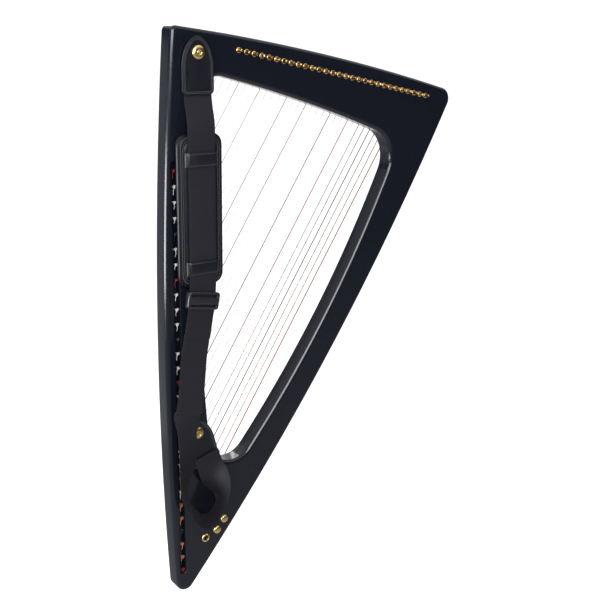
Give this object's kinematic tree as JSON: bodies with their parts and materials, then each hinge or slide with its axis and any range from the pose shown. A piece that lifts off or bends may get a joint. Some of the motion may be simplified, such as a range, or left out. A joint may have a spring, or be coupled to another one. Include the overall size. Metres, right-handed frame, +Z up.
{
  "type": "concert harp",
  "caption": "Portable solid-body lever harp: black lacquered bowed triangular frame, gold tuning pins, strings behind the frame, electric outputs and a shoulder strap.",
  "frame": {"origin": "seat of the upper strap button on the front face of the frame, on the button's axis", "axes": "+X right across the front, towards the pillar; +Y into the body, from the front face to the back; +Z up, along the soundbar"},
  "size_m": [0.6273, 0.0956, 0.9918],
  "materials": {
    "lacquer": "gloss black lacquer on wood",
    "gold": "polished gold plating",
    "brass": "satin brass",
    "strings": "drawn nylon",
    "pickup": "brushed",
    "rosewood": "oiled rosewood",
    "plastic": "fine satin",
    "board": "glass-fibre board with green mask",
    "battery": "printed steel can",
    "steel": "nickel plate",
    "leather": "smooth black leather, stitched",
    "webbing": "woven nylon webbing",
    "pad_cloth": "padded black leather, piped and stitched"
  },
  "bodies": {
    "harp": {"soundbar": "lacquer", "neck": "lacquer", "pillar": "lacquer", "string_set": "strings", "pickup_strip": "pickup", "bridge": "rosewood", "rear_cover": "plastic", "preamp_board": "board", "battery": "battery", "volume_pot": "steel", "tone_pot": "steel", "jack_socket": "steel", "jack_nut": "gold", "upper_strap_button": "gold", "lower_strap_button": "gold", "upper_strap_tab": "leather", "lower_strap_tab": "leather", "webbing_upper": "webbing", "webbing_lower": "webbing"},
    "pin_01": {"tuning_pin_01": "gold"},
    "pin_02": {"tuning_pin_02": "gold"},
    "pin_03": {"tuning_pin_03": "gold"},
    "pin_04": {"tuning_pin_04": "gold"},
    "pin_05": {"tuning_pin_05": "gold"},
    "pin_06": {"tuning_pin_06": "gold"},
    "pin_07": {"tuning_pin_07": "gold"},
    "pin_08": {"tuning_pin_08": "gold"},
    "pin_09": {"tuning_pin_09": "gold"},
    "pin_10": {"tuning_pin_10": "gold"},
    "pin_11": {"tuning_pin_11": "gold"},
    "pin_12": {"tuning_pin_12": "gold"},
    "pin_13": {"tuning_pin_13": "gold"},
    "pin_14": {"tuning_pin_14": "gold"},
    "pin_15": {"tuning_pin_15": "gold"},
    "pin_16": {"tuning_pin_16": "gold"},
    "pin_17": {"tuning_pin_17": "gold"},
    "pin_18": {"tuning_pin_18": "gold"},
    "pin_19": {"tuning_pin_19": "gold"},
    "pin_20": {"tuning_pin_20": "gold"},
    "pin_21": {"tuning_pin_21": "gold"},
    "pin_22": {"tuning_pin_22": "gold"},
    "pin_23": {"tuning_pin_23": "gold"},
    "pin_24": {"tuning_pin_24": "gold"},
    "pin_25": {"tuning_pin_25": "gold"},
    "pin_26": {"tuning_pin_26": "gold"},
    "pin_27": {"tuning_pin_27": "gold"},
    "pin_28": {"tuning_pin_28": "gold"},
    "pin_29": {"tuning_pin_29": "gold"},
    "lever_05_arm": {"lever_05": "brass"},
    "lever_08_arm": {"lever_08": "brass"},
    "lever_12_arm": {"lever_12": "brass"},
    "lever_15_arm": {"lever_15": "brass"},
    "lever_19_arm": {"lever_19": "brass"},
    "lever_22_arm": {"lever_22": "brass"},
    "lever_26_arm": {"lever_26": "brass"},
    "lever_29_arm": {"lever_29": "brass"},
    "volume_control": {"volume_knob": "gold"},
    "tone_control": {"tone_knob": "gold"},
    "pad": {"shoulder_pad": "pad_cloth"},
    "slider": {"strap_slider": "plastic"}
  },
  "joints": [
    {"name": "slider_slide", "type": "slide", "parent": "harp", "child": "slider", "axis": [-0.1736, 0, -0.9848], "range_m": [0, 0.03]},
    {"name": "pad_slide", "type": "slide", "parent": "harp", "child": "pad", "axis": [0, 0, 1], "range_m": [0, 0.025]},
    {"name": "volume_turn", "type": "hinge", "parent": "harp", "child": "volume_control", "pos_m": [0.0406, 0, -0.8261], "axis": [0, 1, 0], "range_deg": [-150, 150]},
    {"name": "tone_turn", "type": "hinge", "parent": "harp", "child": "tone_control", "pos_m": [0.0255, 0, -0.8437], "axis": [0, 1, 0], "range_deg": [-150, 150]},
    {"name": "lever_05_turn", "type": "hinge", "parent": "harp", "child": "lever_05_arm", "pos_m": [0.12965, 0.052, -0.03669], "axis": [0, 1, 0], "range_deg": [0, 90]},
    {"name": "lever_08_turn", "type": "hinge", "parent": "harp", "child": "lever_08_arm", "pos_m": [0.17428, 0.052, -0.04583], "axis": [0, 1, 0], "range_deg": [0, 90]},
    {"name": "lever_12_turn", "type": "hinge", "parent": "harp", "child": "lever_12_arm", "pos_m": [0.23378, 0.052, -0.05802], "axis": [0, 1, 0], "range_deg": [0, 90]},
    {"name": "lever_15_turn", "type": "hinge", "parent": "harp", "child": "lever_15_arm", "pos_m": [0.2784, 0.052, -0.06716], "axis": [0, 1, 0], "range_deg": [0, 90]},
    {"name": "lever_19_turn", "type": "hinge", "parent": "harp", "child": "lever_19_arm", "pos_m": [0.3379, 0.052, -0.07934], "axis": [0, 1, 0], "range_deg": [0, 90]},
    {"name": "lever_22_turn", "type": "hinge", "parent": "harp", "child": "lever_22_arm", "pos_m": [0.38253, 0.052, -0.08848], "axis": [0, 1, 0], "range_deg": [0, 90]},
    {"name": "lever_26_turn", "type": "hinge", "parent": "harp", "child": "lever_26_arm", "pos_m": [0.44203, 0.052, -0.10067], "axis": [0, 1, 0], "range_deg": [0, 90]},
    {"name": "lever_29_turn", "type": "hinge", "parent": "harp", "child": "lever_29_arm", "pos_m": [0.48665, 0.052, -0.10981], "axis": [0, 1, 0], "range_deg": [0, 90]},
    {"name": "pin_01_turn", "type": "hinge", "parent": "harp", "child": "pin_01", "pos_m": [0.08, 0, 0.0025], "axis": [0, 1, 0], "continuous": true},
    {"name": "pin_02_turn", "type": "hinge", "parent": "harp", "child": "pin_02", "pos_m": [0.09488, 0, -0.00055], "axis": [0, 1, 0], "continuous": true},
    {"name": "pin_03_turn", "type": "hinge", "parent": "harp", "child": "pin_03", "pos_m": [0.10975, 0, -0.00359], "axis": [0, 1, 0], "continuous": true},
    {"name": "pin_04_turn", "type": "hinge", "parent": "harp", "child": "pin_04", "pos_m": [0.12462, 0, -0.00664], "axis": [0, 1, 0], "continuous": true},
    {"name": "pin_05_turn", "type": "hinge", "parent": "harp", "child": "pin_05", "pos_m": [0.1395, 0, -0.00969], "axis": [0, 1, 0], "continuous": true},
    {"name": "pin_06_turn", "type": "hinge", "parent": "harp", "child": "pin_06", "pos_m": [0.15438, 0, -0.01273], "axis": [0, 1, 0], "continuous": true},
    {"name": "pin_07_turn", "type": "hinge", "parent": "harp", "child": "pin_07", "pos_m": [0.16925, 0, -0.01578], "axis": [0, 1, 0], "continuous": true},
    {"name": "pin_08_turn", "type": "hinge", "parent": "harp", "child": "pin_08", "pos_m": [0.18413, 0, -0.01883], "axis": [0, 1, 0], "continuous": true},
    {"name": "pin_09_turn", "type": "hinge", "parent": "harp", "child": "pin_09", "pos_m": [0.199, 0, -0.02187], "axis": [0, 1, 0], "continuous": true},
    {"name": "pin_10_turn", "type": "hinge", "parent": "harp", "child": "pin_10", "pos_m": [0.21388, 0, -0.02492], "axis": [0, 1, 0], "continuous": true},
    {"name": "pin_11_turn", "type": "hinge", "parent": "harp", "child": "pin_11", "pos_m": [0.22875, 0, -0.02796], "axis": [0, 1, 0], "continuous": true},
    {"name": "pin_12_turn", "type": "hinge", "parent": "harp", "child": "pin_12", "pos_m": [0.24363, 0, -0.03101], "axis": [0, 1, 0], "continuous": true},
    {"name": "pin_13_turn", "type": "hinge", "parent": "harp", "child": "pin_13", "pos_m": [0.2585, 0, -0.03406], "axis": [0, 1, 0], "continuous": true},
    {"name": "pin_14_turn", "type": "hinge", "parent": "harp", "child": "pin_14", "pos_m": [0.27337, 0, -0.0371], "axis": [0, 1, 0], "continuous": true},
    {"name": "pin_15_turn", "type": "hinge", "parent": "harp", "child": "pin_15", "pos_m": [0.28825, 0, -0.04015], "axis": [0, 1, 0], "continuous": true},
    {"name": "pin_16_turn", "type": "hinge", "parent": "harp", "child": "pin_16", "pos_m": [0.30312, 0, -0.0432], "axis": [0, 1, 0], "continuous": true},
    {"name": "pin_17_turn", "type": "hinge", "parent": "harp", "child": "pin_17", "pos_m": [0.318, 0, -0.04624], "axis": [0, 1, 0], "continuous": true},
    {"name": "pin_18_turn", "type": "hinge", "parent": "harp", "child": "pin_18", "pos_m": [0.33287, 0, -0.04929], "axis": [0, 1, 0], "continuous": true},
    {"name": "pin_19_turn", "type": "hinge", "parent": "harp", "child": "pin_19", "pos_m": [0.34775, 0, -0.05234], "axis": [0, 1, 0], "continuous": true},
    {"name": "pin_20_turn", "type": "hinge", "parent": "harp", "child": "pin_20", "pos_m": [0.36262, 0, -0.05538], "axis": [0, 1, 0], "continuous": true},
    {"name": "pin_21_turn", "type": "hinge", "parent": "harp", "child": "pin_21", "pos_m": [0.3775, 0, -0.05843], "axis": [0, 1, 0], "continuous": true},
    {"name": "pin_22_turn", "type": "hinge", "parent": "harp", "child": "pin_22", "pos_m": [0.39237, 0, -0.06148], "axis": [0, 1, 0], "continuous": true},
    {"name": "pin_23_turn", "type": "hinge", "parent": "harp", "child": "pin_23", "pos_m": [0.40725, 0, -0.06452], "axis": [0, 1, 0], "continuous": true},
    {"name": "pin_24_turn", "type": "hinge", "parent": "harp", "child": "pin_24", "pos_m": [0.42212, 0, -0.06757], "axis": [0, 1, 0], "continuous": true},
    {"name": "pin_25_turn", "type": "hinge", "parent": "harp", "child": "pin_25", "pos_m": [0.437, 0, -0.07061], "axis": [0, 1, 0], "continuous": true},
    {"name": "pin_26_turn", "type": "hinge", "parent": "harp", "child": "pin_26", "pos_m": [0.45188, 0, -0.07366], "axis": [0, 1, 0], "continuous": true},
    {"name": "pin_27_turn", "type": "hinge", "parent": "harp", "child": "pin_27", "pos_m": [0.46675, 0, -0.07671], "axis": [0, 1, 0], "continuous": true},
    {"name": "pin_28_turn", "type": "hinge", "parent": "harp", "child": "pin_28", "pos_m": [0.48163, 0, -0.07975], "axis": [0, 1, 0], "continuous": true},
    {"name": "pin_29_turn", "type": "hinge", "parent": "harp", "child": "pin_29", "pos_m": [0.4965, 0, -0.0828], "axis": [0, 1, 0], "continuous": true}
  ]
}
